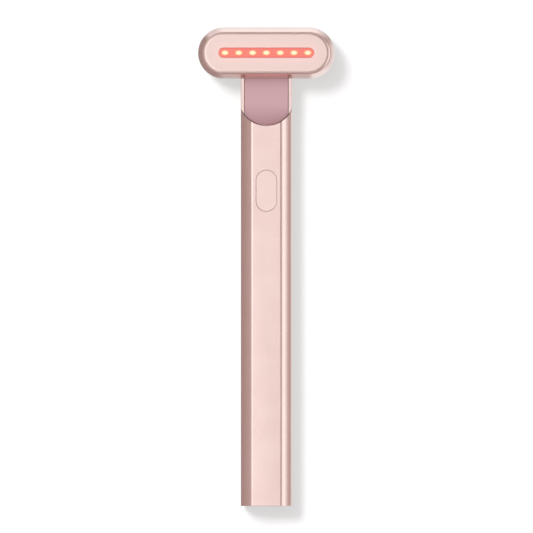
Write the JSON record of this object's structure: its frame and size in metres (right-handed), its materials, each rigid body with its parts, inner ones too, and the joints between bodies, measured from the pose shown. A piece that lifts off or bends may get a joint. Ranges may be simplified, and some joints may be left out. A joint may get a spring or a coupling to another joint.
{
  "type": "skincare wand",
  "caption": "Slim rounded-square handle with a flush push button and a half-lap neck that swivels a stadium-shaped light head with a lit slot.",
  "frame": {"origin": "middle of the rest plane: the wand lies on its back, z = 0 on the back of the handle, centred on width and length", "axes": "+Y along the wand towards the head, +Z out of the front with the button and the light, X across"},
  "size_m": [0.044, 0.154, 0.0144],
  "materials": {
    "rose_metal": "fine pearl lacquer over a drawn tube",
    "rose_moulding": "moulded, pearl lacquered",
    "rose_plate": "satin rose plating",
    "mauve_inlay": "smooth mauve moulding",
    "red_window": "clear red, lit from behind",
    "lamp": "lit lens",
    "brass": "plain turned",
    "steel": "plain",
    "cell_foil": "foil pouch",
    "board": "green resist",
    "dark_plastic": "moulded",
    "pale_plastic": "moulded",
    "rubber": "matt",
    "wire": "sleeved wire",
    "film": "amber film"
  },
  "bodies": {
    "handle": {"handle_tube": "rose_metal", "lug_core": "rose_moulding", "pivot_bush": "brass", "chassis": "pale_plastic", "main_board": "board", "board_chips": "dark_plastic", "tact_switch": "steel", "battery_cell": "cell_foil", "battery_pad": "rubber", "battery_leads": "wire", "tube_contact": "brass", "handle_harness": "wire", "harness_plug": "pale_plastic", "charge_socket_shell": "steel", "charge_socket_tongue": "dark_plastic", "tail_cap": "rose_moulding", "tail_seal": "rubber", "tail_screws": "steel"},
    "neck": {"neck_frame": "rose_moulding", "neck_cover": "mauve_inlay", "pivot_spindle": "steel", "thrust_washer": "brass", "disc_spring": "steel", "circlip": "steel", "neck_harness": "wire", "head_shell": "rose_moulding", "head_screws": "steel", "face_plate": "rose_plate", "plate_gasket": "rubber", "light_window": "red_window", "led_board": "board", "leds": "lamp", "led_board_screws": "steel", "heater_film": "film", "thermistor": "dark_plastic", "vibration_motor": "steel", "motor_pad": "rubber", "electrode_pin": "brass"},
    "button": {"button_cap": "rose_moulding", "switch_plunger": "dark_plastic"}
  },
  "joints": [
    {"name": "neck_swivel", "type": "hinge", "parent": "handle", "child": "neck", "pos_m": [0, 0.05425, 0], "axis": [0, 0, 1], "range_deg": [-35, 35]},
    {"name": "power_button", "type": "slide", "parent": "handle", "child": "button", "axis": [0, 0, -1], "range_m": [0, 0.0003], "stiffness_N_per_m": 3000, "springref_m": -0.0001}
  ]
}
